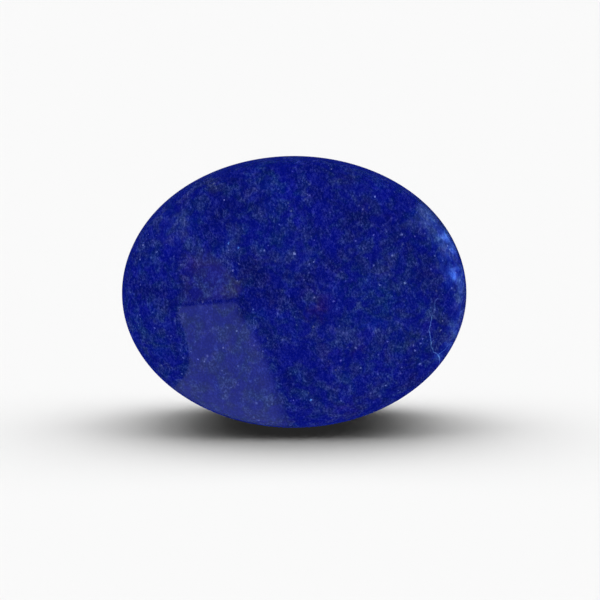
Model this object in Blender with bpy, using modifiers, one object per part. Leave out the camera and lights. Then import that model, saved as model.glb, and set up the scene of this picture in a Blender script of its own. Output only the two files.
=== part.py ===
# Polished oval stone of lapis lazuli, standing on the small flat spot of its lower rim.
# Metres, +Z up. +X runs along the oval's long axis, and -Y is the way its display face looks.
# The origin is the middle of the flat spot, so the stone stands on the plane z = 0.

import math

import bmesh
import bpy
from mathutils import Matrix

# Driving dimensions
WIDTH = 0.0500  # long axis of the oval outline
OUTLINE_RATIO = 1.264  # long axis of the outline over its short axis
THICKNESS = 0.0198  # from the middle of the display face to the middle of the back
FRONT_FULLNESS = 3.2  # exponent of the front's section: 2 is an ellipse, higher is flatter faced
BACK_FULLNESS = 2.8  # the back is a little rounder than the front
THICKER_BELOW = 0.07  # share of the depth gained at the lower rim, and lost at the upper one
THICKER_LEFT = 0.04  # share of the depth gained at the left end, and lost at the right one
FLAT_CUT = 0.0002  # how much is ground off the lower rim to make the flat spot

# How finely the solid is faceted
STEPS_AROUND = 100
STEPS_PER_SIDE = 19

# Worked out from the driving dimensions
HALF_WIDTH = WIDTH / 2
HALF_HEIGHT = HALF_WIDTH / OUTLINE_RATIO
HALF_THICKNESS = THICKNESS / 2
CENTRE_HEIGHT = HALF_HEIGHT - FLAT_CUT

# What grinds the flat spot is a plain block, wider and deeper than the spot
BLOCK_SIZE = 0.030
BLOCK_HEIGHT = 0.006

STONE_COLOUR = (0.010, 0.019, 0.190, 1.0)
STONE_ROUGHNESS = 0.14

MERGE_DISTANCE = 0.00002
SHARP_ANGLE = math.radians(30)


def clear_scene():
    for item in list(bpy.data.objects):
        bpy.data.objects.remove(item, do_unlink=True)


def new_collection(name):
    collection = bpy.data.collections.new(name)
    bpy.context.scene.collection.children.link(collection)
    return collection


def side_profile(fullness):
    """Points from the middle of one face out to the rim, as (radius, height above the girth).

    They lie on the superellipse (radius / HALF_HEIGHT)^n + (height / HALF_THICKNESS)^n = 1, where
    n is the fullness. The angle runs evenly, which puts the points closest together where the
    face turns over into the rim.
    """
    points = []
    for step in range(STEPS_PER_SIDE):
        angle = math.pi / 2 * step / STEPS_PER_SIDE
        radius = HALF_HEIGHT * math.sin(angle) ** (2 / fullness)
        height = HALF_THICKNESS * math.cos(angle) ** (2 / fullness)
        points.append((radius, height))
    return points


def stone_profile():
    """The half section of the stone, from the middle of the front round to the middle of the back."""
    front = side_profile(FRONT_FULLNESS)
    back = side_profile(BACK_FULLNESS)
    rim = [(HALF_HEIGHT, 0.0)]
    return front + rim + [(radius, -height) for radius, height in reversed(back)]


def turned_blank(collection):
    """The half section turned about the line through the middles of both faces."""
    mesh = bpy.data.meshes.new("half_section")
    section = bmesh.new()
    corners = [section.verts.new((radius, 0.0, height)) for radius, height in stone_profile()]
    for first, second in zip(corners, corners[1:]):
        section.edges.new((first, second))
    section.to_mesh(mesh)
    section.free()

    blank = bpy.data.objects.new("turned_blank", mesh)
    collection.objects.link(blank)
    turning = blank.modifiers.new("turning", "SCREW")
    turning.axis = "Z"
    turning.angle = 2 * math.pi
    turning.steps = STEPS_AROUND
    turning.render_steps = STEPS_AROUND
    turning.use_merge_vertices = True
    turning.merge_threshold = MERGE_DISTANCE
    return blank


def lapis_material():
    material = bpy.data.materials.new("polished_lapis")
    material.use_nodes = True
    shader = material.node_tree.nodes["Principled BSDF"]
    shader.inputs["Base Color"].default_value = STONE_COLOUR
    shader.inputs["Roughness"].default_value = STONE_ROUGHNESS
    shader.inputs["Metallic"].default_value = 0.0
    return material


def drawn_out_stone(blank, collection):
    """The turned blank drawn out to the oval, stood on its rim and made uneven in thickness.

    Only the depth changes with height and with the distance along the stone, so that the
    outline seen from the front stays a true ellipse.
    """
    graph = bpy.context.evaluated_depsgraph_get()
    mesh = bpy.data.meshes.new_from_object(blank.evaluated_get(graph))
    mesh.name = "lapis_stone"
    draw_out = Matrix.Diagonal((OUTLINE_RATIO, 1.0, 1.0, 1.0))
    stand_up = Matrix.Rotation(math.pi / 2, 4, "X")
    mesh.transform(stand_up @ draw_out)
    for vertex in mesh.vertices:
        along = vertex.co.x / HALF_WIDTH
        above = vertex.co.z / HALF_HEIGHT
        vertex.co.y *= 1 - THICKER_LEFT * along - THICKER_BELOW * above
    bpy.data.objects.remove(blank, do_unlink=True)

    stone = bpy.data.objects.new("lapis_stone", mesh)
    collection.objects.link(stone)
    stone.location = (0.0, 0.0, CENTRE_HEIGHT)
    stone.data.materials.append(lapis_material())
    stone.data.shade_smooth()
    return stone


def grinding_block(collection):
    """A block whose top is the plane z = 0. What it takes off the rim leaves the flat spot."""
    bpy.ops.mesh.primitive_cube_add(size=1.0, location=(0.0, 0.0, -BLOCK_HEIGHT / 2))
    block = bpy.context.object
    block.name = "grinding_block"
    block.scale = (BLOCK_SIZE, BLOCK_SIZE, BLOCK_HEIGHT)
    for owner in list(block.users_collection):
        owner.objects.unlink(block)
    collection.objects.link(block)
    block.hide_render = True
    block.display_type = "WIRE"
    return block


def grind_flat_spot(stone, block):
    flat_spot = stone.modifiers.new("flat_spot", "BOOLEAN")
    flat_spot.operation = "DIFFERENCE"
    flat_spot.solver = "EXACT"
    flat_spot.object = block


def main():
    clear_scene()
    model = new_collection("polished_lapis_oval")
    cutters = new_collection("cutters")
    stone = drawn_out_stone(turned_blank(model), model)
    grind_flat_spot(stone, grinding_block(cutters))
    stone.data.set_sharp_from_angle(angle=SHARP_ANGLE)


main()
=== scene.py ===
import math

import bpy
import numpy as np
from mathutils import Matrix, Vector


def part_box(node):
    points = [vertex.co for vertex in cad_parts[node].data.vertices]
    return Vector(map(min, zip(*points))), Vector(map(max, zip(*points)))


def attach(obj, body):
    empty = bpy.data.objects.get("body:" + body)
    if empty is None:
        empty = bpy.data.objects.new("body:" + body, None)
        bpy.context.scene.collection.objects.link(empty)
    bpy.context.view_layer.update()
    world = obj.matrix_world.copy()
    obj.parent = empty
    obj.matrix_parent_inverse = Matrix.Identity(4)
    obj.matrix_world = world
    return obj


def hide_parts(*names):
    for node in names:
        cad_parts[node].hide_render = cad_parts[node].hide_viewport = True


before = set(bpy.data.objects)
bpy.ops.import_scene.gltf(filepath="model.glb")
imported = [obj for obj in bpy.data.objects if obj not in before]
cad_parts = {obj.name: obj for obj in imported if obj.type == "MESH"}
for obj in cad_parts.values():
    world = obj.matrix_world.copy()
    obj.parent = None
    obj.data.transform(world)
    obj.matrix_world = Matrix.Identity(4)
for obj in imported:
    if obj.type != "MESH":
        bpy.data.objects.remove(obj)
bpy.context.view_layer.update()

# The dressed lapis oval. Metres, +Z up, display face towards -Y, as in the frame.
millimetre = 0.001
stoneLow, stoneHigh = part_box("lapis_stone")

# Places that were read from the photograph are pixels of its square frame
photo = {
    "side": 600,
    "ovalMiddle": (294.3, 291.6),
    "ovalHalfWidth": 172.0,
    "ovalHeightShare": 0.788,  # its half height over its half width
    "background": 250 / 255,  # how light the paper white is, as seen on screen
}

# The stone's form: the same section as the solid in the frame, on a much finer grid
stoneForm = {
    "halfThickness": 0.0099,
    "frontFullness": 3.2,  # 2 would be an ellipse, higher is flatter faced
    "backFullness": 2.8,
    "thickerBelow": 0.07,
    "thickerLeft": 0.04,
    "flatCut": 0.0002,  # ground off the lower rim
    "flatEdge": 0.00003,  # how softly the flat spot runs into the rim
    "pointsAround": 512,
    "rows": 184,
    "markDepth": 0.004,  # how far behind the girth the face's marks die away
}
halfWidth = (stoneHigh.x - stoneLow.x) / 2
halfHeight = (stoneHigh.z + stoneForm["flatCut"]) / 2
middleHeight = halfHeight - stoneForm["flatCut"]

# The camera: a long lens a little above the stone
view = {
    "elevation": math.radians(14),
    "lens": 100.0,  # millimetres
    "sensor": 36.0,
    "outlineNearer": 0.0059,  # how much nearer than the girth the outline's ends are seen
    "aimHeight": 0.0190,  # of the oval's middle, up the picture, over the point it stands on
}


def cameraSetting():
    # Distance: the half width on the sensor is the same share of it as in the photograph.
    # Aim: the middle of the oval, moved by what the photograph has it off the picture's middle.
    onSensor = view["sensor"] * photo["ovalHalfWidth"] / photo["side"]
    distance = halfWidth * view["lens"] / onSensor + view["outlineNearer"]
    metresPerPixel = halfWidth / photo["ovalHalfWidth"]
    right = Vector((1, 0, 0))
    away = Vector((0, math.cos(view["elevation"]), -math.sin(view["elevation"])))
    up = right.cross(away)
    offRight = (photo["side"] / 2 - photo["ovalMiddle"][0]) * metresPerPixel
    offUp = (photo["ovalMiddle"][1] - photo["side"] / 2) * metresPerPixel
    aim = right * offRight + up * (view["aimHeight"] + offUp)
    return aim - away * distance, right, up, away


cameraPlace, cameraRight, cameraUp, cameraAway = cameraSetting()


def addCamera():
    data = bpy.data.cameras.new("photographView")
    data.lens = view["lens"]
    data.sensor_width = view["sensor"]
    data.clip_start = 0.01
    data.clip_end = 50
    camera = bpy.data.objects.new("photographView", data)
    bpy.context.scene.collection.objects.link(camera)
    turned = Matrix((cameraRight, cameraUp, -cameraAway)).transposed().to_4x4()
    camera.matrix_world = Matrix.Translation(cameraPlace) @ turned
    bpy.context.scene.camera = camera


# Where a pixel of the photograph lies on the stone


def outside(point):
    # Below 0 inside the stone and above 0 outside: (distance from the axis through both faces,
    # as a share of the outline)^n + (depth as a share of the thickness there)^n - 1
    x, y, z = point[..., 0], point[..., 1], point[..., 2] - middleHeight
    radial = np.sqrt((x / halfWidth) ** 2 + (z / halfHeight) ** 2)
    thickness = stoneForm["halfThickness"] * thicknessShare(x, z)
    fullness = np.where(y < 0, stoneForm["frontFullness"], stoneForm["backFullness"])
    return radial**fullness + np.abs(y / thickness) ** fullness - 1


def thicknessShare(x, z):
    return 1 - stoneForm["thickerLeft"] * x / halfWidth - stoneForm["thickerBelow"] * z / halfHeight


def onStone(pixels):
    # The camera's ray through each pixel is halved again and again between a point in front of
    # the stone and one in its middle plane. Pixels past the outline end on that plane.
    pixels = np.asarray(pixels, float)
    metresOnSensor = view["sensor"] / photo["side"] / view["lens"]
    across = (pixels[..., 0] - photo["side"] / 2) * metresOnSensor
    upward = (photo["side"] / 2 - pixels[..., 1]) * metresOnSensor
    ray = (
        np.array(cameraAway)
        + across[..., None] * np.array(cameraRight)
        + upward[..., None] * np.array(cameraUp)
    )
    start = np.array(cameraPlace)
    near = (-1.5 * stoneForm["halfThickness"] - start[1]) / ray[..., 1]
    far = (0.0 - start[1]) / ray[..., 1]
    for _ in range(40):
        middle = (near + far) / 2
        isOutside = outside(start + middle[..., None] * ray) > 0
        near = np.where(isOutside, middle, near)
        far = np.where(isOutside, far, middle)
    return start + near[..., None] * ray, ray / np.linalg.norm(ray, axis=-1, keepdims=True)


def insideOval(pixels):
    # A pixel outside 0.998 of the oval moves towards the oval's middle until it is on that
    middle = np.array(photo["ovalMiddle"])
    axes = photo["ovalHalfWidth"] * np.array((1, photo["ovalHeightShare"]))
    reach = np.linalg.norm((pixels - middle) / axes, axis=-1, keepdims=True)
    return middle + (pixels - middle) * np.minimum(1, 0.998 / np.maximum(reach, 0.998))


def stoneNormal(points):
    # The slope of outside() by small steps along each axis, made a unit vector
    step = 1e-6
    slopes = [outside(points + axis) - outside(points - axis) for axis in np.eye(3) * step]
    normal = np.stack(slopes, -1)
    return normal / np.linalg.norm(normal, axis=-1, keepdims=True)


# The stone's surface


def evenProfile(fullness, count):
    # Points of the superellipse (radius)^n + (height)^n = 1 from the pole to the rim, as shares,
    # spaced evenly along the curve that it makes at the stone's real height and thickness
    angle = np.linspace(0, math.pi / 2, 6001)
    radius = np.sin(angle) ** (2 / fullness)
    height = np.cos(angle) ** (2 / fullness)
    steps = np.hypot(np.diff(radius) * halfHeight, np.diff(height) * stoneForm["halfThickness"])
    run = np.concatenate(([0], np.cumsum(steps)))
    even = np.linspace(0, run[-1], count)
    return np.interp(even, run, radius), np.interp(even, run, height)


def stonePoints():
    # Around: an ellipse, x = half width * radius * cos(turn), z = half height * radius * sin(turn).
    # From face to back: the front's profile out to the rim, then the back's profile in again.
    # Depth: height on the profile * half thickness * a share that grows downwards and to the left.
    perSide = stoneForm["rows"] // 2
    frontRadius, frontDepth = evenProfile(stoneForm["frontFullness"], perSide + 1)
    backRadius, backDepth = evenProfile(stoneForm["backFullness"], perSide + 1)
    radius = np.concatenate((frontRadius, backRadius[-2::-1]))[:, None]
    depth = np.concatenate((-frontDepth, backDepth[-2::-1]))[:, None]
    turn = np.linspace(0, 2 * math.pi, stoneForm["pointsAround"], endpoint=False)[None, :]
    x = halfWidth * radius * np.cos(turn)
    z = halfHeight * radius * np.sin(turn)
    y = depth * stoneForm["halfThickness"] * thicknessShare(x, z)
    return np.stack((x, y, z + middleHeight), -1)


def groundFlat(points):
    # Below the plane z = 0 the surface is cut to it, and within the soft edge above and below
    # it the height is the parabola that joins the plane and the rim smoothly
    edge = stoneForm["flatEdge"]
    height = points[..., 2]
    joined = (height + edge) ** 2 / (4 * edge)
    cut = np.where(height < -edge, 0, np.where(height > edge, height, joined))
    return np.concatenate((points[..., :2], cut[..., None]), -1)


def closedMesh(name, points):
    # A grid whose rows are closed rings and whose first and last rows are single points.
    # Corners run so that the faces point outwards.
    rows, around = points.shape[:2]
    vertices = np.concatenate((points[:1, 0], points[1:-1].reshape(-1, 3), points[-1:, 0]))
    last = len(vertices) - 1
    ring = np.arange(1, last).reshape(rows - 2, around)
    beside = np.roll(ring, -1, 1)
    quads = np.stack((ring[:-1], beside[:-1], beside[1:], ring[1:]), -1).reshape(-1, 4)
    front = np.stack((np.zeros(around, int), ring[0], beside[0]), -1)
    back = np.stack((np.full(around, last), beside[-1], ring[-1]), -1)
    mesh = bpy.data.meshes.new(name)
    mesh.from_pydata(
        vertices.tolist(), [], front.tolist() + quads[:, ::-1].tolist() + back.tolist()
    )
    mesh.shade_smooth()
    return mesh, vertices


# Marks of the display face that have a place of their own

# Soft drifts of colour: where, how wide and high in pixels, how far turned (down to the right
# is above 0), which tint, how much. Tints are red, green and blue steps of 255. Most drifts are
# the stone's own tones. The azure and mist drifts on the right rim above the vein are painted
# light, the glow of a rim lit from the right. The long thin shade drift across the window
# is a painted reflection of the window's dark bar.
tints = {
    # The azure tint is painted rim light. The mist tint is the stone's pale mist and also painted rim
    # light.
    "paintedRimLight": (40, 62, 76),
    "mistAndPaintedRimLight": (30, 40, 34),
    "haze": (9, 11, 6),
    "pale": (10, 9, 8),
    "blue": (-11, -5, 10),
    "indigo": (-13, -14, 3),
    "violet": (-4, -7, 4),
    "rose": (7, -2, 0),
    "orange": (11, 1, -9),
    "gold": (13, 10, -17),
    "olive": (3, 4, -9),
    "green": (-2, 6, -4),
    "teal": (-5, 2, 3),
    "umber": (-7, -12, -17),
    "maroon": (-4, -10, -8),
    "shade": (-11, -10, -8),
}
toneDriftsAndPaintedLight = {
    "goldTopLeft": (213, 186, 15, 7, 35, "gold", 0.7),
    "shadeTopLeft": (233, 178, 12, 7, 35, "shade", 0.9),
    "greenTop": (266, 172, 14, 14, 0, "green", 0.6),
    "blueTop": (288, 182, 12, 22, 0, "blue", 1.1),
    "indigoTop": (311, 168, 11, 15, 0, "indigo", 1.0),
    "indigoTopLow": (323, 192, 9, 16, 0, "indigo", 0.9),
    "oliveTop": (335, 172, 9, 12, 0, "olive", 0.9),
    "greyTop": (353, 178, 13, 10, 0, "olive", 0.4),
    "blueTopRight": (382, 188, 17, 10, 25, "blue", 1.0),
    "paleInBlueTopRight": (382, 188, 12, 8, 25, "pale", 0.5),
    "indigoTopRight": (412, 201, 14, 6, 40, "indigo", 0.6),
    "oliveUpper": (247, 207, 13, 8, 20, "olive", 1.0),
    "shadeUpper": (247, 207, 14, 10, 20, "shade", 0.4),
    "greenUpper": (270, 200, 9, 16, 0, "green", 0.8),
    "shadeUpperLeft": (220, 206, 15, 11, 0, "shade", 1.0),
    "violetUpper": (297, 208, 9, 9, 0, "violet", 0.9),
    "blueUpper": (301, 222, 9, 9, 0, "blue", 0.5),
    "indigoUpper": (322, 217, 13, 16, 0, "indigo", 0.8),
    "umberUpperRight": (357, 221, 12, 13, 0, "umber", 0.65),
    "violetUpperRight": (390, 214, 10, 8, 0, "violet", 0.8),
    "indigoUpperRight": (384, 229, 9, 9, 0, "indigo", 0.8),
    "tealUpper": (262, 232, 17, 15, 0, "teal", 1.1),
    "oliveMiddle": (286, 229, 11, 6, 30, "olive", 0.7),
    "paleField": (234, 241, 8, 13, 0, "haze", 1.0),
    "indigoBesideField": (207, 233, 7, 11, -40, "indigo", 0.9),
    "maroonBesideField": (215, 222, 8, 16, 20, "maroon", 0.7),
    "hazeUpperLeft": (182, 224, 11, 12, 0, "haze", 1.2),
    "paleUpperLeft": (170, 239, 10, 8, -20, "pale", 1.0),
    "greyUpperLeft": (162, 214, 10, 8, -40, "pale", 0.7),
    "violetLeft": (147, 237, 9, 8, 0, "violet", 0.8),
    "blueLeft": (160, 260, 17, 9, -45, "blue", 1.0),
    "tealLeft": (143, 268, 8, 10, 0, "teal", 0.8),
    "roseLeft": (189, 272, 9, 13, 0, "rose", 0.8),
    "maroonLeft": (186, 276, 9, 12, 0, "maroon", 0.4),
    "goldInWindow": (235, 285, 8, 7, -10, "gold", 1.3),
    "orangeInWindow": (222, 290, 9, 6, 0, "orange", 0.7),
    "umberBesideWindow": (246, 266, 12, 9, 40, "umber", 1.0),
    "umberBelowThat": (257, 282, 9, 13, 0, "umber", 0.9),
    "umberBesideBar": (243, 308, 8, 10, 20, "umber", 0.9),
    "maroonMiddle": (271, 295, 11, 12, 0, "maroon", 1.0),
    "shadeMiddle": (291, 304, 8, 9, 0, "shade", 1.2),
    "paleMiddle": (298, 256, 13, 8, 0, "haze", 0.6),
    "indigoMiddle": (332, 244, 10, 13, 0, "indigo", 1.1),
    "maroonMiddleRight": (334, 267, 9, 12, 0, "maroon", 0.9),
    "umberMiddle": (308, 280, 9, 9, 0, "umber", 1.0),
    "oliveMiddleRight": (350, 256, 9, 9, 0, "olive", 0.8),
    "oliveRight": (385, 262, 10, 11, 0, "olive", 0.8),
    "greenRight": (385, 285, 18, 10, 0, "green", 0.9),
    "brownRight": (410, 254, 14, 12, 0, "umber", 0.4),
    "maroonRight": (430, 275, 9, 14, 0, "maroon", 0.6),
    "orangeMiddle": (318, 310, 14, 13, 0, "orange", 1.1),
    "greenBelowBar": (258, 314, 10, 8, 0, "green", 0.6),
    "tealMiddleRight": (380, 308, 30, 12, 0, "green", 0.6),
    "paleMiddleRight": (376, 324, 18, 9, 0, "haze", 0.5),
    "tealLowRight": (372, 324, 18, 9, 0, "teal", 0.7),
    "oliveLowRight": (408, 342, 17, 13, -10, "olive", 1.1),
    "blueLowRight": (380, 371, 13, 9, 0, "blue", 1.0),
    "roseMiddleLow": (337, 333, 11, 8, 0, "pale", 0.7),
    "roseMiddleLowToo": (352, 352, 14, 9, 0, "rose", 0.5),
    "indigoLow": (302, 353, 10, 8, 0, "indigo", 1.1),
    "indigoLowLeft": (284, 359, 10, 8, 0, "indigo", 1.0),
    "shadeBesideWindow": (275, 346, 6, 14, -20, "shade", 0.9),
    "shadeUnderThat": (290, 388, 6, 20, -15, "shade", 0.7),
    "violetLow": (325, 370, 18, 13, 0, "violet", 0.8),
    "oliveLow": (312, 389, 12, 7, 0, "olive", 0.5),
    "orangeLow": (338, 386, 9, 7, 0, "orange", 0.5),
    "roseLow": (365, 393, 14, 10, 0, "rose", 0.5),
    "maroonLowRight": (408, 379, 14, 11, -30, "maroon", 1.0),
    "indigoLowest": (303, 409, 10, 10, 0, "indigo", 0.7),
    "orangeLowest": (352, 410, 13, 7, 0, "orange", 0.7),
    "greenLeftLow": (158, 342, 16, 16, 0, "green", 0.7),
    "tealLeftLow": (134, 325, 9, 10, 0, "teal", 1.0),
    "blueLeftLow": (139, 307, 12, 7, 0, "blue", 0.8),
    "oliveLeft": (166, 306, 10, 6, 0, "olive", 0.8),
    "shadeLeft": (157, 291, 13, 7, 0, "shade", 0.8),
    "indigoLeft": (130, 282, 7, 12, 0, "indigo", 0.7),
    "blueBesideWindow": (181, 350, 6, 24, 10, "blue", 0.7),
    # Painted reflection: a shade drift where the polish mirrors the dark bar between the two window
    # panes
    "paintedWindowBarReflection": (205, 301.6, 36, 3.4, -5, "shade", 0.9),
    "oliveBesideVein": (442, 319, 10, 8, 0, "olive", 0.9),
    "paleBesideVein": (430, 316, 9, 16, 0, "haze", 0.5),
    # Painted light, down to the indigo drift beside the rim: azure and mist glow where the right rim
    # turns towards a light on the right
    "paintedRimLightTop": (424, 209, 8, 10, 45, "mistAndPaintedRimLight", 0.7),
    "paintedRimLightHigh": (431, 222, 7, 10, 40, "mistAndPaintedRimLight", 1.0),
    "paintedRimLightMiddle": (436, 237, 8, 9, 30, "mistAndPaintedRimLight", 0.5),
    "paintedRimLightAzureHigh": (446, 236, 6, 10, 30, "paintedRimLight", 1.0),
    "paintedRimLightAzureMiddle": (453, 249, 6, 9, 25, "paintedRimLight", 0.85),
    "paintedRimLightAzureGap": (456, 261, 5, 7, 0, "paintedRimLight", 0.4),
    "paintedRimLightBesideGap": (441, 261, 6, 10, 25, "mistAndPaintedRimLight", 0.5),
    "paintedRimLightUnderGap": (446, 269, 6, 5, 0, "mistAndPaintedRimLight", 0.5),
    "paintedRimLightAzureBright": (454, 276, 7, 9, 10, "paintedRimLight", 1.05),
    "paintedRimLightAzureEdge": (462, 275, 4, 9, 10, "paintedRimLight", 0.5),
    "paintedRimLightLow": (460, 291, 6, 9, 0, "mistAndPaintedRimLight", 0.8),
    "paintedRimLightLower": (457, 302, 6, 6, 0, "mistAndPaintedRimLight", 0.45),
    "paintedRimLightAzureLow": (460, 313, 5, 9, -10, "paintedRimLight", 0.3),
    "indigoBesideRim": (445, 302, 6, 5, 0, "indigo", 0.7),
    "mistBesideVein": (455, 330, 6, 10, -20, "mistAndPaintedRimLight", 1.1),
    "mistUnderBranch": (449, 346, 6, 5, 40, "mistAndPaintedRimLight", 1.2),
    "mistVeinFoot": (439, 357, 5, 5, 0, "mistAndPaintedRimLight", 0.8),
}

# Flecks with a place of their own: pixel, radius in pixels, colour, strength
fleckColours = {
    "lavender": (0.42, 0.41, 0.38),
    "ice": (0.41, 0.42, 0.37),
    "sky": (0.24, 0.38, 0.42),
    "straw": (0.40, 0.39, 0.26),
    "rose": (0.42, 0.38, 0.34),
}
placedFlecks = {
    "nearLeftRim": (143, 245, 1.7, "lavender", 0.8),
    "leftAboveAzure": (157, 252, 1.5, "ice", 0.6),
    "leftViolet": (156, 235.5, 1.1, "rose", 0.5),
    "upperLeftStreakA": (213.5, 183.5, 1.6, "straw", 0.45),
    "upperLeftStreakB": (216.5, 188, 1.2, "straw", 0.4),
    "topGoldSmall": (304.5, 180, 1.2, "straw", 0.35),
    "topGold": (309.6, 184.6, 1.6, "straw", 0.6),
    "topPale": (292.5, 171.5, 1.2, "lavender", 0.4),
    "rimTopPale": (279, 157.5, 1.6, "lavender", 0.45),
    "straightAbove": (288, 203, 1.3, "straw", 0.5),
    "straightAboveB": (291, 211, 1.6, "straw", 0.65),
    "smallIce": (279.5, 224.5, 1.1, "ice", 0.6),
    "haloWhite": (375, 196.5, 1.7, "ice", 0.85),
    "haloWhiteHigh": (375, 174, 1.4, "ice", 0.5),
    "greenish": (363, 209, 1.7, "straw", 0.5),
    "lavenderMiddle": (294.5, 253.5, 2.0, "lavender", 0.85),
    "belowLavender": (313.6, 262, 1.4, "ice", 0.6),
    "besideViolet": (314.4, 297.5, 1.3, "rose", 0.7),
    "violetRight": (333.8, 301, 1.6, "lavender", 0.6),
    "leftOfBar": (253, 309.5, 1.6, "ice", 0.7),
    "rightUpper": (373.7, 235, 1.4, "lavender", 0.7),
    "farRightUpper": (401.8, 234.4, 1.9, "ice", 0.65),
    "rightMiddle": (356, 241, 1.4, "lavender", 0.7),
    "rightMiddleB": (373.5, 265.5, 1.4, "ice", 0.7),
    "rightMiddleC": (392, 255.5, 1.5, "lavender", 0.6),
    "rightLow": (405, 282.6, 1.7, "ice", 0.75),
    "rightLowB": (379, 284.5, 1.7, "straw", 0.55),
    "rightFar": (435, 256, 1.8, "ice", 0.6),
    "rimWhiteA": (447.5, 245.5, 1.7, "ice", 0.8),
    "rimWhiteB": (452, 252, 1.4, "ice", 0.6),
    "goldSmudge": (239, 264, 1.4, "straw", 0.6),
    "goldSmudgeB": (233, 270.5, 1.8, "straw", 0.6),
    "smudgePale": (237, 281, 1.5, "ice", 0.55),
    "azureStreakA": (228.6, 243, 1.7, "sky", 1.0),
    "azureStreakB": (238.5, 247.7, 1.9, "sky", 0.9),
    "windowA": (236.5, 331, 1.4, "ice", 0.8),
    "windowB": (223, 347.6, 1.6, "straw", 0.75),
    "windowC": (198, 359.3, 1.3, "ice", 0.75),
    "windowD": (237.8, 366, 1.2, "lavender", 0.6),
    "windowE": (254, 345, 1.5, "straw", 0.45),
    "windowF": (222, 370.5, 1.5, "ice", 0.45),
    "windowLow": (256, 403, 2.2, "straw", 0.45),
    "windowLowB": (272, 404, 1.5, "ice", 0.5),
    "windowFoot": (253.5, 417, 1.6, "sky", 0.6),
    "leftPale": (171, 336, 1.7, "straw", 0.5),
    "leftPaleB": (154.5, 328, 1.3, "ice", 0.5),
    "leftLow": (183.5, 358, 1.6, "ice", 0.5),
    "rosyBelow": (341, 360.7, 2.0, "rose", 0.6),
    "belowMiddle": (356, 348, 1.7, "ice", 0.6),
    "belowMiddleB": (361, 368, 1.5, "ice", 0.6),
    "belowMiddleC": (339.5, 326, 1.4, "lavender", 0.5),
    "rightBelow": (420, 364, 1.9, "ice", 0.7),
    "rightBelowB": (415, 350.5, 1.5, "ice", 0.75),
    "rightBelowC": (420.7, 343.4, 1.6, "lavender", 0.65),
    "lowAzure": (311, 400, 1.9, "sky", 1.0),
}

# The calcite vein, its branch and a pale curl, as the pixels that each runs through
threads = {
    "vein": [
        (431.8, 317), (430.3, 326), (428.7, 330), (430.4, 335.5), (431, 342),
        (431.3, 346), (433.6, 352), (437, 353.7), (439.4, 357), (439.8, 361), (439, 365),
    ],
    "branch": [(438.5, 354.5), (441.6, 352), (445.6, 349), (447, 346.6), (450.5, 343)],
    "curl": [(440.7, 299.7), (438.9, 298), (436.2, 299.2), (434.6, 302.5), (434.4, 306), (435.3, 309)],
}


def toneAndPaintedLightTint(vertices):
    # Each drift is a bell curve of the distance from its middle in the photograph's plane,
    # longer along its own turned axis, times its tint. The drifts are added up. Behind the
    # stone's girth they die away over a few millimetres. Most are the stone's tones. The right
    # rim's glow among them is painted light, and the window bar's dark line is a painted reflection.
    metresPerPixel = halfWidth / photo["ovalHalfWidth"]
    total = np.zeros((len(vertices), 3))
    for column, row, wide, high, turned, tint, amount in toneDriftsAndPaintedLight.values():
        away = (vertices - onStone((column, row))[0]) / metresPerPixel
        right, up = away @ np.array(cameraRight), away @ np.array(cameraUp)
        turn = math.radians(turned)
        along = (right * math.cos(turn) - up * math.sin(turn)) / wide
        across = (right * math.sin(turn) + up * math.cos(turn)) / high
        bell = np.exp(-(along**2 + across**2))
        total += amount * bell[:, None] * np.array(tints[tint]) / 255
    behind = np.maximum(vertices[:, 1], 0) / stoneForm["markDepth"]
    return total * np.exp(-(behind**2))[:, None]


def nearestFleck(vertices):
    # For each vertex: the step from its nearest placed fleck, in fleck radii, and that fleck's
    # colour. The step changes evenly over the surface, so a fleck stays sharp between vertices.
    metresPerPixel = halfWidth / photo["ovalHalfWidth"]
    best = np.full(len(vertices), 1e9)
    step = np.full((len(vertices), 3), 50.0)
    colour = np.zeros((len(vertices), 3))
    for column, row, radius, name, strength in placedFlecks.values():
        away = (vertices - onStone((column, row))[0]) / (radius * metresPerPixel)
        distance = np.linalg.norm(away, axis=1)
        closer = distance < best
        best[closer] = distance[closer]
        step[closer] = away[closer]
        colour[closer] = np.array(fleckColours[name]) * strength
    return step, np.minimum(best, 50.0), colour


def threadSides(vertices):
    # For each thread: the distance to its nearest stretch in millimetres, with the sign of the
    # side that the vertex is on, and the same distance without a sign
    signed, plain = [], []
    for run in threads.values():
        places = onStone(run)[0]
        best = np.full(len(vertices), 1e9)
        side = np.full(len(vertices), 1e9)
        for first, second in zip(places, places[1:]):
            stretch = second - first
            share = np.clip((vertices - first) @ stretch / (stretch @ stretch), 0, 1)
            away = vertices - first - share[:, None] * stretch
            distance = np.linalg.norm(away, axis=1) / millimetre
            closer = distance < best
            best[closer] = distance[closer]
            turn = stretch[0] * away[:, 2] - stretch[2] * away[:, 0]
            side[closer] = (distance * np.where(turn < 0, -1, 1))[closer]
        signed.append(np.clip(side, -20, 20))
        plain.append(np.minimum(best, 20))
    return np.stack(signed, -1), np.stack(plain, -1)


def storeVectors(mesh, name, values):
    attribute = mesh.attributes.new(name, "FLOAT_VECTOR", "POINT")
    attribute.data.foreach_set("vector", values.astype(np.float32).ravel())


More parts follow.
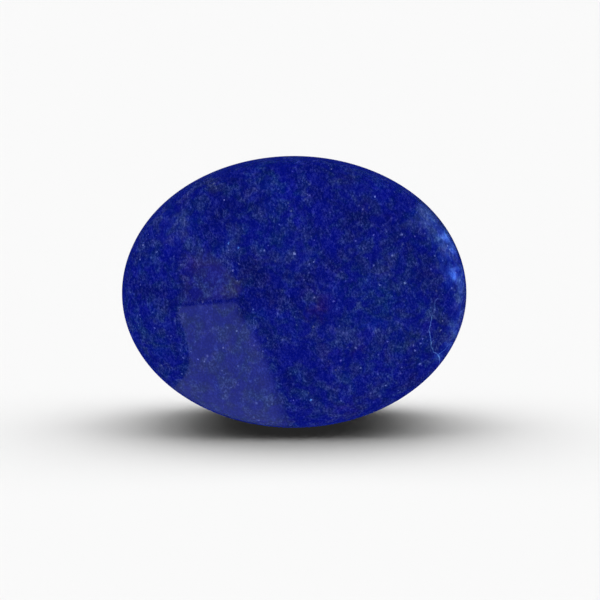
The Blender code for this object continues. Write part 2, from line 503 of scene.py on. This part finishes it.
def buildStone():
    points = groundFlat(stonePoints())
    mesh, vertices = closedMesh("polished_lapis_stone", points)
    stone = bpy.data.objects.new("polished_lapis_stone", mesh)
    bpy.context.scene.collection.objects.link(stone)
    fleckStep, fleckNear, fleckColour = nearestFleck(vertices)
    threadSigned, threadPlain = threadSides(vertices)
    storeVectors(mesh, "toneAndPaintedLight", toneAndPaintedLightTint(vertices))
    storeVectors(mesh, "fleckStep", fleckStep)
    storeVectors(mesh, "fleckColour", fleckColour)
    storeVectors(mesh, "threadSide", threadSigned)
    storeVectors(mesh, "threadNear", threadPlain)
    near = mesh.attributes.new("fleckNear", "FLOAT", "POINT")
    near.data.foreach_set("value", fleckNear.astype(np.float32))
    return stone


# Shader helpers


def addNode(tree, kind, feeds=None, **settings):
    # A node with its settings, and each named or numbered input set to a value or linked
    node = tree.nodes.new(kind)
    for name, value in settings.items():
        setattr(node, name, value)
    for key, value in (feeds or {}).items():
        if isinstance(value, bpy.types.NodeSocket):
            tree.links.new(value, node.inputs[key])
        else:
            node.inputs[key].default_value = value
    return node


def maths(tree, operation, *values):
    node = addNode(tree, "ShaderNodeMath", dict(enumerate(values)), operation=operation)
    return node.outputs[0]


def vectorMaths(tree, operation, *values):
    node = addNode(tree, "ShaderNodeVectorMath", dict(enumerate(values)), operation=operation)
    return node.outputs["Value" if operation in ("LENGTH", "DISTANCE") else "Vector"]


def scaledTint(tree, tint, amount):
    # A fixed or changing tint times a value
    node = addNode(tree, "ShaderNodeVectorMath", {0: tint, "Scale": amount}, operation="SCALE")
    return node.outputs["Vector"]


def spread(tree, value, fromLow, fromHigh, toLow=0.0, toHigh=1.0, smooth=False):
    feeds = {"Value": value, "From Min": fromLow, "From Max": fromHigh}
    feeds.update({"To Min": toLow, "To Max": toHigh})
    kind = "SMOOTHSTEP" if smooth else "LINEAR"
    node = addNode(tree, "ShaderNodeMapRange", feeds, interpolation_type=kind, clamp=True)
    return node.outputs["Result"]


def noise(tree, place, scale, detail=2.0, roughness=0.5, distortion=0.0):
    feeds = {"Vector": place, "Scale": scale, "Detail": detail, "Roughness": roughness}
    feeds["Distortion"] = distortion
    return addNode(tree, "ShaderNodeTexNoise", feeds)


def newGroup(name, inputs, outputs):
    group = bpy.data.node_groups.new(name, "ShaderNodeTree")
    for socket, kind, value in inputs:
        made = group.interface.new_socket(socket, in_out="INPUT", socket_type=kind)
        if value is not None:
            made.default_value = value
    for socket, kind in outputs:
        group.interface.new_socket(socket, in_out="OUTPUT", socket_type=kind)
    return group, addNode(group, "NodeGroupInput").outputs, addNode(group, "NodeGroupOutput").inputs


def placeGroup(tree, group, feeds):
    node = tree.nodes.new("ShaderNodeGroup")
    node.node_tree = group
    for key, value in feeds.items():
        if isinstance(value, bpy.types.NodeSocket):
            tree.links.new(value, node.inputs[key])
        else:
            node.inputs[key].default_value = value
    return node.outputs


valueKind, vectorKind, colourKind = "NodeSocketFloat", "NodeSocketVector", "NodeSocketColor"


def cloudGroup():
    # Changes of colour through the rock. Paleness and violet: a noise a few millimetres long,
    # less 0.5, times the amount and its own tint. Olive: a shorter noise, drawn apart so that
    # its patches have an edge, times the amount and its own tint. Dense is how much of the light
    # texture a place keeps, and follows the paleness.
    group, given, out = newGroup(
        "rockClouds",
        [
            ("Place", vectorKind, None),
            ("Paleness", valueKind, 0.1),
            ("Olive", valueKind, 0.1),
            ("Violet", valueKind, 0.1),
        ],
        [("Tint", vectorKind), ("Dense", valueKind)],
    )
    warp = noise(group, given["Place"], 0.35, 2.0).outputs["Color"]
    bent = vectorMaths(group, "MULTIPLY_ADD", warp, (2.5, 2.5, 2.5), given["Place"])
    colours = noise(group, bent, 0.42, 3.0, 0.6).outputs["Color"]
    parts = addNode(group, "ShaderNodeSeparateColor", {"Color": colours}).outputs
    short = noise(group, bent, 0.52, 1.5, 0.7).outputs["Fac"]
    short = spread(group, short, 0.36, 0.64, -0.5, 0.5, smooth=True)
    tint = None
    for level, amount, hue in (
        (maths(group, "SUBTRACT", parts[0], 0.5), given["Paleness"], (0.9, 1.15, 0.8)),
        (short, given["Olive"], (0.5, 0.6, -0.8)),
        (maths(group, "SUBTRACT", parts[2], 0.5), given["Violet"], (1.0, -0.3, 0.3)),
    ):
        added = scaledTint(group, hue, maths(group, "MULTIPLY", level, amount))
        tint = added if tint is None else vectorMaths(group, "ADD", tint, added)
    group.links.new(tint, out["Tint"])
    dense = maths(group, "ADD", parts[0], maths(group, "MULTIPLY", short, 0.3))
    group.links.new(spread(group, dense, 0.3, 0.7, 0.65, 1.3), out["Dense"])
    return group


def netGroup():
    # Fine net of calcite. A thread lies where a noise crosses its middle value, so the threads
    # close into loops and curls: mask = 1 - |noise - 0.5| * thinness. A slower noise thins the
    # net out in patches, and Cover is how much of the stone keeps it.
    group, given, out = newGroup(
        "calciteNet",
        [
            ("Place", vectorKind, None),
            ("Scale", valueKind, 1.5),
            ("Thinness", valueKind, 9.0),
            ("Cover", valueKind, 0.5),
        ],
        [("Mask", valueKind)],
    )
    bent = noise(group, given["Place"], 1.9, 1.0).outputs["Color"]
    place = vectorMaths(group, "MULTIPLY_ADD", bent, (0.42,) * 3, given["Place"])
    field = noise(group, place, given["Scale"], 0.0, 0.5).outputs["Fac"]
    off = maths(group, "ABSOLUTE", maths(group, "SUBTRACT", field, 0.5))
    thread = maths(group, "SUBTRACT", 1.0, maths(group, "MULTIPLY", off, given["Thinness"]))
    thread = maths(group, "MAXIMUM", thread, 0.0)
    patches = noise(group, given["Place"], 0.9, 2.0, 0.7).outputs["Fac"]
    low = maths(group, "SUBTRACT", 0.7, maths(group, "MULTIPLY", given["Cover"], 0.4))
    kept = spread(group, patches, low, maths(group, "ADD", low, 0.14))
    group.links.new(maths(group, "MULTIPLY", thread, kept), out["Mask"])
    return group


def fleckGroup():
    # Small uneven grains. Each cell of a Voronoi pattern has one, at its own point, kept only if
    # the cell's random number is under the share. Most are faint: strength = random number to
    # the power 2. The place is shaken first, so that no grain is round.
    group, given, out = newGroup(
        "scatteredFlecks",
        [
            ("Place", vectorKind, None),
            ("Scale", valueKind, 1.0),
            ("Radius", valueKind, 0.2),
            ("Share", valueKind, 0.5),
        ],
        [("Mask", valueKind)],
    )
    shake = noise(group, given["Place"], 5.0, 1.0).outputs["Color"]
    place = vectorMaths(group, "MULTIPLY_ADD", shake, (0.3,) * 3, given["Place"])
    cells = addNode(
        group,
        "ShaderNodeTexVoronoi",
        {"Vector": place, "Scale": given["Scale"], "Randomness": 1.0},
        feature="F1",
    ).outputs
    parts = addNode(group, "ShaderNodeSeparateColor", {"Color": cells["Color"]}).outputs
    size = maths(group, "MULTIPLY", given["Radius"], spread(group, parts[2], 0.0, 1.0, 0.6, 1.0))
    grain = spread(group, maths(group, "DIVIDE", cells["Distance"], size), 0.3, 1.0, 1.0, 0.0)
    strength = maths(group, "ADD", maths(group, "POWER", parts[1], 2.0), 0.15)
    kept = maths(group, "MULTIPLY", maths(group, "LESS_THAN", parts[0], given["Share"]), strength)
    group.links.new(maths(group, "MULTIPLY", grain, kept), out["Mask"])
    return group


def placedGroup():
    # The marks whose places the mesh carries: drifts (the stone's tones, with painted rim light and a
    # painted reflection of the window's bar among them), the threads of the vein, and flecks
    group, given, out = newGroup(
        "placedMarks",
        [("Place", vectorKind, None), ("Thread Width", valueKind, 0.1)],
        [
            ("Tone And Painted Light", vectorKind),
            ("Thread", valueKind),
            ("Fleck Colour", vectorKind),
            ("Fleck", valueKind),
        ],
    )

    def carried(name):
        return addNode(group, "ShaderNodeAttribute", attribute_name=name).outputs

    wobble = noise(group, given["Place"], 2.6, 2.0).outputs["Color"]
    wobble = vectorMaths(group, "MULTIPLY_ADD", wobble, (0.28,) * 3, (-0.14,) * 3)
    side = vectorMaths(group, "ADD", carried("threadSide")["Vector"], wobble)
    parts = addNode(group, "ShaderNodeSeparateXYZ", {0: vectorMaths(group, "ABSOLUTE", side)}).outputs
    plain = addNode(group, "ShaderNodeSeparateXYZ", {0: carried("threadNear")["Vector"]}).outputs
    thread = None
    for axis, weight in ((0, 1.0), (1, 0.9), (2, 0.6)):
        line = spread(group, parts[axis], given["Thread Width"], 0.0, 0.0, weight)
        line = maths(group, "MULTIPLY", line, spread(group, plain[axis], 0.42, 0.3))
        thread = line if thread is None else maths(group, "MAXIMUM", thread, line)
    patchy = noise(group, given["Place"], 1.7, 2.0).outputs["Fac"]
    thread = maths(group, "MULTIPLY", thread, spread(group, patchy, 0.3, 0.55, 0.45, 1.0))
    shake = noise(group, given["Place"], 5.0, 1.0).outputs["Color"]
    shake = vectorMaths(group, "MULTIPLY_ADD", shake, (1.6,) * 3, (-0.8,) * 3)
    step = vectorMaths(group, "ADD", carried("fleckStep")["Vector"], shake)
    fleck = spread(group, vectorMaths(group, "LENGTH", step), 0.2, 0.95, 1.0, 0.0, smooth=True)
    near = maths(group, "LESS_THAN", carried("fleckNear")["Fac"], 2.5)
    uneven = noise(group, given["Place"], 0.9, 3.0, 0.6).outputs["Fac"]
    uneven = spread(group, uneven, 0.36, 0.64, 0.5, 1.5)
    # The drifts carry painted rim light and a painted window-bar reflection besides the stone's tones
    group.links.new(scaledTint(group, carried("toneAndPaintedLight")["Vector"], uneven), out["Tone And Painted Light"])
    group.links.new(thread, out["Thread"])
    group.links.new(carried("fleckColour")["Vector"], out["Fleck Colour"])
    group.links.new(maths(group, "MULTIPLY", fleck, near), out["Fleck"])
    return group


def seenGroup():
    # A colour as seen on screen, 0 to 1, made the linear one that the shader needs. Above 0.04:
    # ((colour + 0.055) / 1.055) to the power 2.4. Below it: colour / 12.92.
    group, given, out = newGroup("seenToLinear", [("Seen", vectorKind, None)], [("Color", colourKind)])
    knee, slope = 0.04045, 1 / 12.92
    high = vectorMaths(group, "MAXIMUM", given["Seen"], (knee,) * 3)
    high = vectorMaths(group, "MULTIPLY_ADD", high, (1 / 1.055,) * 3, (0.055 / 1.055,) * 3)
    high = addNode(group, "ShaderNodeGamma", {"Color": high, "Gamma": 2.4}).outputs[0]
    low = vectorMaths(group, "MINIMUM", given["Seen"], (knee,) * 3)
    low = vectorMaths(group, "MULTIPLY_ADD", low, (slope,) * 3, (-slope * knee,) * 3)
    both = vectorMaths(group, "MAXIMUM", vectorMaths(group, "ADD", high, low), (0.0004,) * 3)
    group.links.new(both, out["Color"])
    return group


# What a user would change in the stone's finish. Colours are as seen on screen.
lapisLook = {
    "body": (0.016, 0.062, 0.390),
    "deepest": (0.008, 0.040, 0.320),  # no patch gets darker than this
    "paleness": 0.10,
    "olive": 0.075,
    "violet": 0.10,
    "haze": 0.006,  # even share of the light texture
    "coarseNet": 0.055,
    "fineNet": 0.045,
    "dots": 0.11,
    "grain": 0.36,
    "lightTint": (1.0, 1.0, 0.95),
    "paleFlecks": (0.33, 0.32, 0.30),
    "goldFlecks": (0.26, 0.25, 0.17),
    "threadColour": (0.24, 0.33, 0.30),
    "grainLean": math.radians(-11),  # how far the fibres lean, top to the left
    "grainStretch": (1.0, 2.5, 1.45),  # across the fibres, from face to back, along them
    "roughness": 0.045,
}


def lapisColour(tree, groups, place, look):
    # Body colour with clouds and drifts, kept above the deepest colour. The drifts carry painted rim
    # light and a painted reflection of the window's bar as well as the stone's tones. On it one light
    # texture of haze, net, dots and grain, and then the flecks. All are added as they look on screen.
    clouds = placeGroup(
        tree,
        groups["clouds"],
        {"Place": place, "Paleness": look["paleness"], "Olive": look["olive"], "Violet": look["violet"]},
    )
    placed = placeGroup(tree, groups["placed"], {"Place": place, "Thread Width": 0.11})
    fibres = addNode(
        tree,
        "ShaderNodeMapping",
        {"Vector": place, "Rotation": (0, look["grainLean"], 0), "Scale": look["grainStretch"]},
        vector_type="TEXTURE",
    ).outputs["Vector"]
    shifted = vectorMaths(tree, "ADD", fibres, (41.0, 7.0, 13.0))
    coarse = placeGroup(
        tree, groups["net"], {"Place": fibres, "Scale": 1.2, "Thinness": 5.0, "Cover": 0.7}
    )["Mask"]
    fine = placeGroup(
        tree, groups["net"], {"Place": shifted, "Scale": 2.4, "Thinness": 5.0, "Cover": 0.8}
    )["Mask"]
    dots = placeGroup(
        tree, groups["flecks"], {"Place": shifted, "Scale": 2.2, "Radius": 0.38, "Share": 0.6}
    )["Mask"]
    pale = placeGroup(
        tree, groups["flecks"], {"Place": place, "Scale": 1.0, "Radius": 0.19, "Share": 0.6}
    )["Mask"]
    gold = placeGroup(
        tree, groups["flecks"], {"Place": shifted, "Scale": 0.9, "Radius": 0.17, "Share": 0.5}
    )["Mask"]
    grain = maths(tree, "SUBTRACT", noise(tree, fibres, 4.0, 1.0, 0.8).outputs["Fac"], 0.5)
    light = look["haze"]
    for mask, amount in (
        (coarse, look["coarseNet"]),
        (fine, look["fineNet"]),
        (dots, look["dots"]),
        (grain, look["grain"]),
    ):
        light = maths(tree, "MULTIPLY_ADD", mask, amount, light)
    light = maths(tree, "MAXIMUM", maths(tree, "MULTIPLY", light, clouds["Dense"]), 0.0)
    seen = vectorMaths(tree, "ADD", look["body"], clouds["Tint"])
    seen = vectorMaths(tree, "ADD", seen, placed["Tone And Painted Light"])
    seen = vectorMaths(tree, "MAXIMUM", seen, look["deepest"])
    for tint, mask in (
        (look["lightTint"], light),
        (look["paleFlecks"], pale),
        (look["goldFlecks"], gold),
        (look["threadColour"], placed["Thread"]),
        (placed["Fleck Colour"], placed["Fleck"]),
    ):
        seen = vectorMaths(tree, "ADD", seen, scaledTint(tree, tint, mask))
    return placeGroup(tree, groups["seen"], {"Seen": seen})["Color"], gold, coarse


def lapisMaterial(name, groups, look, roughness):
    material = bpy.data.materials.new(name)
    material.use_nodes = True
    tree = material.node_tree
    shader = tree.nodes["Principled BSDF"]
    shader.inputs["IOR"].default_value = 1.5
    toMillimetres = addNode(
        tree,
        "ShaderNodeMapping",
        {"Vector": addNode(tree, "ShaderNodeTexCoord").outputs["Object"], "Scale": (1000.0,) * 3},
    )
    place = toMillimetres.outputs["Vector"]
    colour, gold, wisp = lapisColour(tree, groups, place, look)
    tree.links.new(colour, shader.inputs["Base Color"])
    tree.links.new(maths(tree, "MULTIPLY", gold, 0.5), shader.inputs["Metallic"])
    worn = spread(tree, wisp, 0.0, 1.0, roughness, roughness * 1.5)
    tree.links.new(worn, shader.inputs["Roughness"])
    return material


# Light, floor and what the polish reflects

# The panes that show in the polish, as the photograph's pixels along each pane's two sides.
# Colour is what the polish adds to the stone's own. The glow grows from nothing over a share of
# the pane at its left side, its right side and its far end.
panes = {
    "windowLower": {
        "left": [
            (176.7, 307), (180, 320), (184, 332), (187, 344), (188.6, 358), (188.3, 367),
            (183, 377), (170, 391), (152, 410), (135, 430),
        ],
        "right": [
            (238, 302), (241, 313), (252, 325), (262, 341), (269, 358), (275, 373),
            (280, 389), (286, 405), (293, 424), (300, 445),
        ],
        "colour": (0.0160, 0.0200, 0.030),
        "fade": (0.02, 0.12, 0.01),
    },
    "windowUpper": {
        "left": [(175, 303.5), (176, 290), (177, 278), (177, 266), (177, 254), (180, 244)],
        "right": [(238, 297.3), (244, 289), (235, 278), (226, 267), (216, 256), (206, 246)],
        "colour": (0.0105, 0.0090, 0.009),
        "fade": (0.6, 0.04, 0.3),
    },
    "windowSill": {
        "left": [(173.5, 303.8), (178, 291), (184, 280)],
        "right": [(230, 298), (224, 287), (220, 276)],
        "colour": (0.0070, 0.0085, 0.0100),
        "fade": (0.03, 0.4, 0.9),
    },
    "rimLight": {
        "left": [(416, 197), (419, 209), (423.5, 220), (429, 233), (436, 246), (443, 258)],
        "right": [(440, 190), (450, 205), (460, 220), (470, 235), (478, 250), (484, 262)],
        "colour": (0.0060, 0.0120, 0.0300),
        "fade": (0.05, 0.01, 0.6),
    },
}

stage = {
    "floorSize": 40.0,
    "floorShade": 0.80,
    "paneDistance": 0.45,
    "roomInPolish": (0.007, 0.015, 0.185),  # the dark room that the polish reflects
}

# Lamps over the floor, in an arch from left to right
arch = {
    "reach": 1.4,  # how far the outer lamps lie to the side, for each metre of height
    "lamps": 9,
    "bell": 0.56,  # where a lamp has 0.61 of the middle one's light, for each metre of height
    "back": 0.2,  # how far the whole arch leans back, for each metre of height
    "width": 40,  # degrees that each lamp is wide
    "underStone": 0.018,  # how light the darkest of the shadow stays
}

# A light tent round the stone, which lights only the stone and shows in nothing. Its light is
# strength * (1 + the three shares along right, back and up, each times the direction).
tent = {
    "radius": 3.0,
    "strength": 1.18,
    "lean": (0.0, 0.0, 0.0),
    "rings": 24,
}


def linearOf(seen):
    return ((seen + 0.055) / 1.055) ** 2.4


def paneMesh(name, pane):
    # Two parameters: down the pane, and from its left side to its right one. The camera's ray
    # through each pixel is mirrored in the stone and carried on to a sphere around it. Glow is
    # 1 / (share of light that polished stone mirrors at that slant), so that the pane adds the
    # same everywhere, times a ramp at each side. Share: 0.04 + 0.96 * (1 - cosine)^5. Pixels
    # past the rim are drawn in to it, so that a pane can run over it.
    down = np.linspace(0, 1, 81)[:, None]
    across = np.linspace(0, 1, 61)[None, :]

    def side(key):
        run = np.array(pane[key], float)
        share = np.linspace(0, 1, len(run))
        return np.stack([np.interp(down, share, run[:, axis]) for axis in (0, 1)], -1)

    pixels = side("left") * (1 - across[..., None]) + side("right") * across[..., None]
    pixels = insideOval(pixels)
    places, rays = onStone(pixels)
    normals = stoneNormal(places)
    cosine = -np.sum(rays * normals, -1, keepdims=True)
    mirrored = rays + 2 * cosine * normals
    points = places + mirrored * stage["paneDistance"]
    fadeLeft, fadeRight, fadeEnd = pane["fade"]
    ramp = np.clip(across / fadeLeft, 0, 1) * np.clip((1 - across) / fadeRight, 0, 1)
    ramp = ramp * np.clip((1 - down) / fadeEnd, 0, 1)
    glow = ramp / (0.04 + 0.96 * (1 - np.clip(cosine[..., 0], 0, 1)) ** 5)
    rows, columns = glow.shape
    index = np.arange(rows * columns).reshape(rows, columns)
    quads = np.stack((index[:-1, :-1], index[:-1, 1:], index[1:, 1:], index[1:, :-1]), -1)
    mesh = bpy.data.meshes.new(name)
    mesh.from_pydata(points.reshape(-1, 3).tolist(), [], quads.reshape(-1, 4).tolist())
    attribute = mesh.attributes.new("glow", "FLOAT", "POINT")
    attribute.data.foreach_set("value", glow.astype(np.float32).ravel())
    return mesh


def onlyInPolish(thing):
    # Nothing but a reflection sees it: it lights and shades nothing
    thing.visible_camera = False
    thing.visible_diffuse = False
    thing.visible_shadow = False
    thing.visible_transmission = False
    thing.visible_volume_scatter = False


def addPanes():
    for name, pane in panes.items():
        mesh = paneMesh(name, pane)
        thing = bpy.data.objects.new(name, mesh)
        bpy.context.scene.collection.objects.link(thing)
        material = bpy.data.materials.new(name)
        material.use_nodes = True
        material.cycles.emission_sampling = "NONE"
        tree = material.node_tree
        tree.nodes.clear()
        glow = addNode(tree, "ShaderNodeAttribute", attribute_name="glow").outputs["Fac"]
        light = addNode(
            tree, "ShaderNodeEmission", {"Color": (*pane["colour"], 1.0), "Strength": glow}
        )
        end = addNode(tree, "ShaderNodeOutputMaterial")
        tree.links.new(light.outputs[0], end.inputs["Surface"])
        mesh.materials.append(material)
        onlyInPolish(thing)


def addFloor():
    # A plain plane, light enough to run into the white behind it
    half = stage["floorSize"] / 2
    mesh = bpy.data.meshes.new("floor")
    mesh.from_pydata(
        [(-half, -half, 0), (half, -half, 0), (half, half, 0), (-half, half, 0)], [], [(0, 1, 2, 3)]
    )
    floor = bpy.data.objects.new("floor", mesh)
    bpy.context.scene.collection.objects.link(floor)
    material = bpy.data.materials.new("paperWhite")
    material.use_nodes = True
    shader = material.node_tree.nodes["Principled BSDF"]
    shader.inputs["Base Color"].default_value = (*(stage["floorShade"],) * 3, 1.0)
    shader.inputs["Roughness"].default_value = 1.0
    shader.inputs["Specular IOR Level"].default_value = 0.0
    shader.inputs["Emission Color"].default_value = (1, 1, 1, 1)
    shader.inputs["Emission Strength"].default_value = arch["underStone"]
    mesh.materials.append(material)
    floor.visible_glossy = False
    floor.visible_diffuse = False  # so that the tent lights the stone from below as well
    return floor


def addLamps(floor):
    # The arch of lamps stands over the stone from left to right and lights only the floor. Each
    # lamp's share of the light is a bell curve of how far it lies to the side, and together they
    # make the floor as light as the background: sum of strength * cosine of the tilt * shade / pi.
    onlyFloor = bpy.data.collections.new("litFloor")
    onlyFloor.objects.link(floor)
    sides = np.linspace(-arch["reach"], arch["reach"], arch["lamps"])
    shares = np.exp(-((sides / arch["bell"]) ** 2) / 2)
    full = (linearOf(photo["background"]) - arch["underStone"]) * math.pi / stage["floorShade"]
    for number, (side, share) in enumerate(zip(sides, shares / shares.sum())):
        way = Vector((side, arch["back"], 1))
        data = bpy.data.lights.new(f"arch{number}", "SUN")
        data.energy = full * share * way.length
        data.angle = math.radians(arch["width"])
        data.cycles.use_multiple_importance_sampling = False  # else the tent takes a share
        lamp = bpy.data.objects.new(data.name, data)
        bpy.context.scene.collection.objects.link(lamp)
        lamp.rotation_euler = way.to_track_quat("Z", "Y").to_euler()
        lamp.visible_glossy = False
        lamp.light_linking.receiver_collection = onlyFloor


def addTent(stone):
    # A sphere: from pole to pole by rings, and around
    rings = tent["rings"]
    polar = np.linspace(0, math.pi, rings + 1)[:, None]
    turn = np.linspace(0, 2 * math.pi, 2 * rings, endpoint=False)[None, :]
    x, y = np.sin(polar) * np.cos(turn), np.sin(polar) * np.sin(turn)
    points = np.stack((x, y, np.cos(polar) + 0 * turn), -1) * tent["radius"]
    mesh, _ = closedMesh("lightTent", points)
    thing = bpy.data.objects.new("lightTent", mesh)
    bpy.context.scene.collection.objects.link(thing)
    material = bpy.data.materials.new("lightTent")
    material.use_nodes = True
    material.cycles.emission_sampling = "NONE"
    tree = material.node_tree
    tree.nodes.clear()
    place = addNode(tree, "ShaderNodeTexCoord").outputs["Object"]
    lean = tuple(share * tent["strength"] / tent["radius"] for share in tent["lean"])
    leaning = addNode(tree, "ShaderNodeVectorMath", {0: place, 1: lean}, operation="DOT_PRODUCT")
    strength = maths(tree, "ADD", leaning.outputs["Value"], tent["strength"])
    light = addNode(tree, "ShaderNodeEmission", {"Strength": strength})
    end = addNode(tree, "ShaderNodeOutputMaterial")
    tree.links.new(light.outputs[0], end.inputs["Surface"])
    mesh.materials.append(material)
    onlyStone = bpy.data.collections.new("litStone")
    onlyStone.objects.link(stone)
    thing.light_linking.receiver_collection = onlyStone
    thing.visible_camera = False
    thing.visible_glossy = False
    thing.visible_shadow = False
    thing.visible_transmission = False
    thing.visible_volume_scatter = False


def addWorld():
    # The camera sees the background's white, a reflection sees the dark room, and nothing else
    # is lit by it
    world = bpy.data.worlds.new("paperWhite")
    world.use_nodes = True
    bpy.context.scene.world = world
    tree = world.node_tree
    tree.nodes.clear()
    path = addNode(tree, "ShaderNodeLightPath").outputs
    white = (linearOf(photo["background"]),) * 3
    seen = scaledTint(tree, white, path["Is Camera Ray"])
    reflected = scaledTint(tree, stage["roomInPolish"], path["Is Glossy Ray"])
    light = addNode(tree, "ShaderNodeBackground", {"Color": vectorMaths(tree, "ADD", seen, reflected)})
    end = addNode(tree, "ShaderNodeOutputWorld")
    tree.links.new(light.outputs[0], end.inputs["Surface"])


def main():
    addCamera()
    print("camera placed", [round(value, 4) for value in cameraPlace])
    stone = buildStone()
    print("stone surface built,", len(stone.data.polygons), "faces")
    groups = {
        "clouds": cloudGroup(),
        "net": netGroup(),
        "flecks": fleckGroup(),
        "placed": placedGroup(),
        "seen": seenGroup(),
    }
    stone.data.materials.append(
        lapisMaterial("polished_lapis", groups, lapisLook, lapisLook["roughness"])
    )
    print("polish and colour made")
    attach(stone, "root")
    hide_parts("lapis_stone")
    stone.visible_diffuse = False  # its blue would tint the shadow
    floor = addFloor()
    addPanes()
    addLamps(floor)
    addTent(stone)
    addWorld()
    print("floor, light and reflections set")
    bpy.context.scene.view_settings.view_transform = "Standard"


main()
